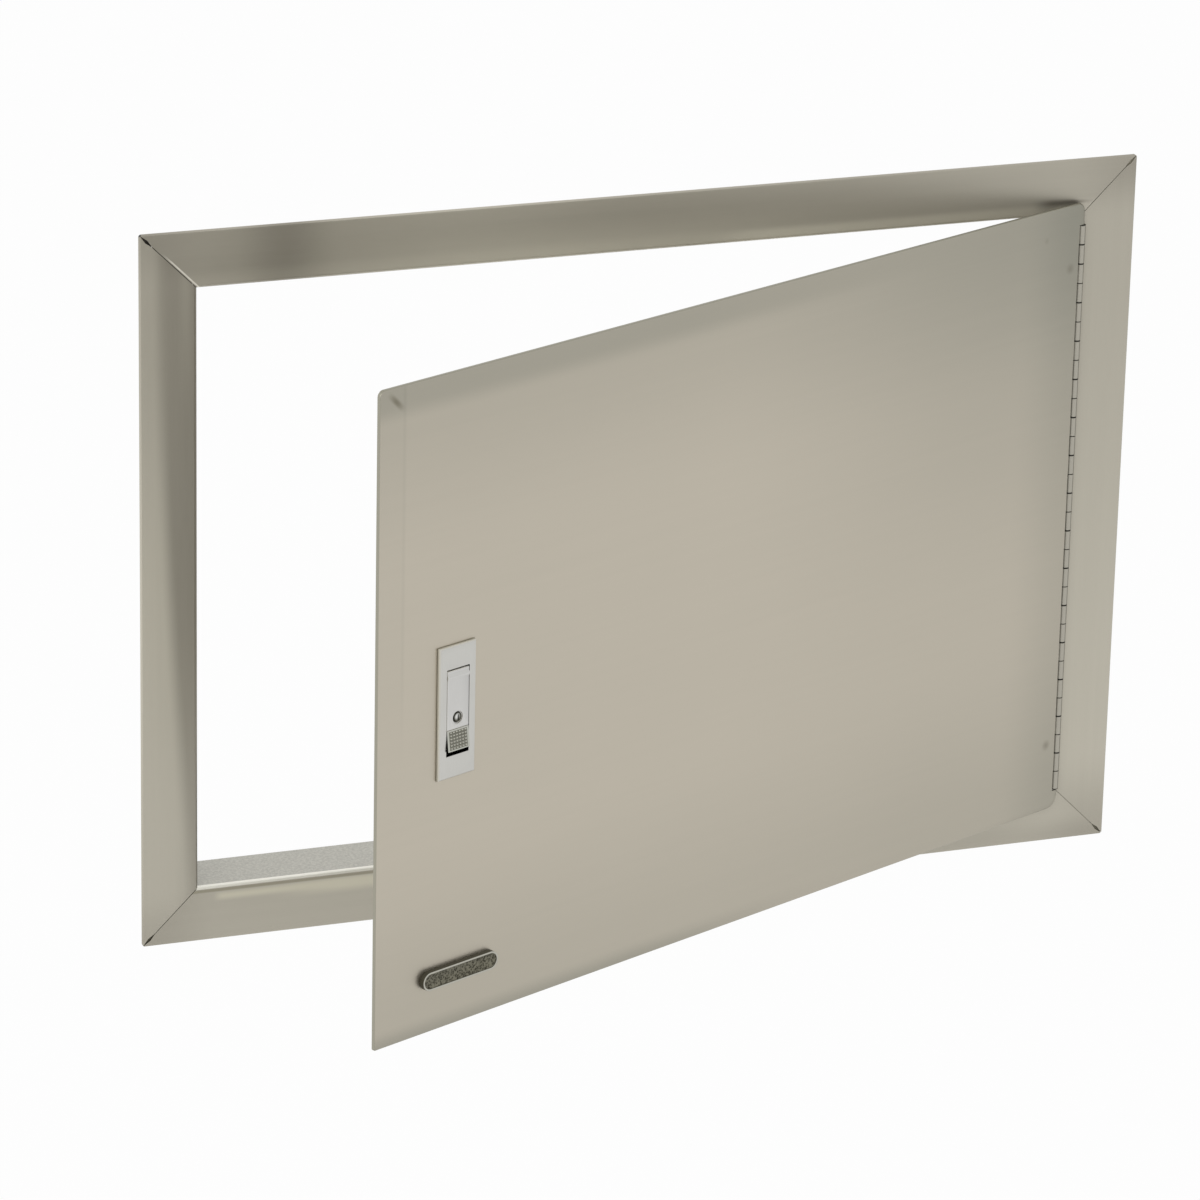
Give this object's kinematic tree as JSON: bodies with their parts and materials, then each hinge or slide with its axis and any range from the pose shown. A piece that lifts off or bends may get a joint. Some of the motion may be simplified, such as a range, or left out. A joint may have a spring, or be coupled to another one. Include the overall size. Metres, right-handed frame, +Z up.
{
  "type": "outdoor kitchen island access door",
  "caption": "Single access door for an outdoor kitchen island: mitred sheet steel frame with jambs, hemmed door on a continuous hinge, and a flush lever latch with a slam bolt.",
  "frame": {"origin": "centre of the frame's opening, in the plane of the wall that the flange lies against", "axes": "+X to the right seen from the front, +Y into the wall, +Z up. The door stands open by 23.9 degrees on its right-hand hinge."},
  "size_m": [0.6478, 0.2823, 0.46],
  "materials": {
    "frame_steel": "satin, with the grain along each rail",
    "door_steel": "satin, with the grain along the door",
    "gusset_steel": "plain mill finish",
    "hinge_steel": "satin",
    "pin_steel": "drawn wire",
    "badge_metal": "dark sunk field inside a bright rim, bare",
    "latch_chrome": "satin chrome plate",
    "lock_chrome": "polished",
    "pad_chrome": "satin chrome plate",
    "plain_zinc": "plain casting",
    "bracket_steel": "zinc plate",
    "screw_steel": "plain",
    "spring_steel": "drawn wire",
    "bolt_steel": "zinc plate",
    "bumper_rubber": "soft black"
  },
  "bodies": {
    "frame": {"frame_top_rail": "frame_steel", "frame_bottom_rail": "frame_steel", "frame_latch_stile": "frame_steel", "frame_hinge_stile": "frame_steel", "corner_gusset_top_left": "gusset_steel", "corner_gusset_top_right": "gusset_steel", "corner_gusset_bottom_left": "gusset_steel", "corner_gusset_bottom_right": "gusset_steel", "hinge_frame_leaf": "hinge_steel", "hinge_pin": "pin_steel"},
    "door": {"hinge_door_leaf": "hinge_steel", "door_skin": "door_steel", "badge": "badge_metal", "latch_case": "latch_chrome", "latch_back_cover": "plain_zinc", "latch_bracket_upper": "bracket_steel", "latch_bracket_lower": "bracket_steel", "latch_screws": "screw_steel", "lever_pin": "pin_steel", "pad_pin": "pin_steel", "bolt_guide": "bracket_steel", "door_bumpers": "bumper_rubber", "bolt_spring": "spring_steel", "pad_spring": "spring_steel"},
    "lever": {"latch_lever": "latch_chrome"},
    "key": {"lock_plug": "lock_chrome", "lock_cam": "plain_zinc", "cam_clip": "spring_steel"},
    "button": {"push_pad": "pad_chrome"},
    "bolt": {"slam_bolt": "bolt_steel"}
  },
  "joints": [
    {"name": "door_swing", "type": "hinge", "parent": "frame", "child": "door", "pos_m": [0.28728, -0.00443, 0], "axis": [0, 0, 1], "range_deg": [-23.9, 146.1]},
    {"name": "lever_pull", "type": "hinge", "parent": "door", "child": "lever", "pos_m": [-0.19476, -0.21997, 0.0171], "axis": [-0.9143, -0.4051, 0], "range_deg": [0, 32], "stiffness_Nm_per_rad": 0.05, "springref_deg": -20.05},
    {"name": "bolt_slide", "type": "slide", "parent": "door", "child": "bolt", "axis": [0.9143, 0.4051, 0], "range_m": [0, 0.009], "deforming": ["bolt_spring"]},
    {"name": "button_press", "type": "hinge", "parent": "door", "child": "button", "pos_m": [-0.19577, -0.21769, -0.01815], "axis": [0.9143, 0.4051, 0], "range_deg": [0, 11], "stiffness_Nm_per_rad": 0.05, "springref_deg": -5.73, "deforming": ["pad_spring"]},
    {"name": "key_turn", "type": "hinge", "parent": "lever", "child": "key", "pos_m": [-0.19476, -0.21997, -0.0088], "axis": [-0.4051, 0.9143, 0], "range_deg": [0, 90]}
  ],
  "couplings": [
    {"joint": "bolt_slide", "follows": "lever_pull", "m_per_rad": 0.016114}
  ]
}
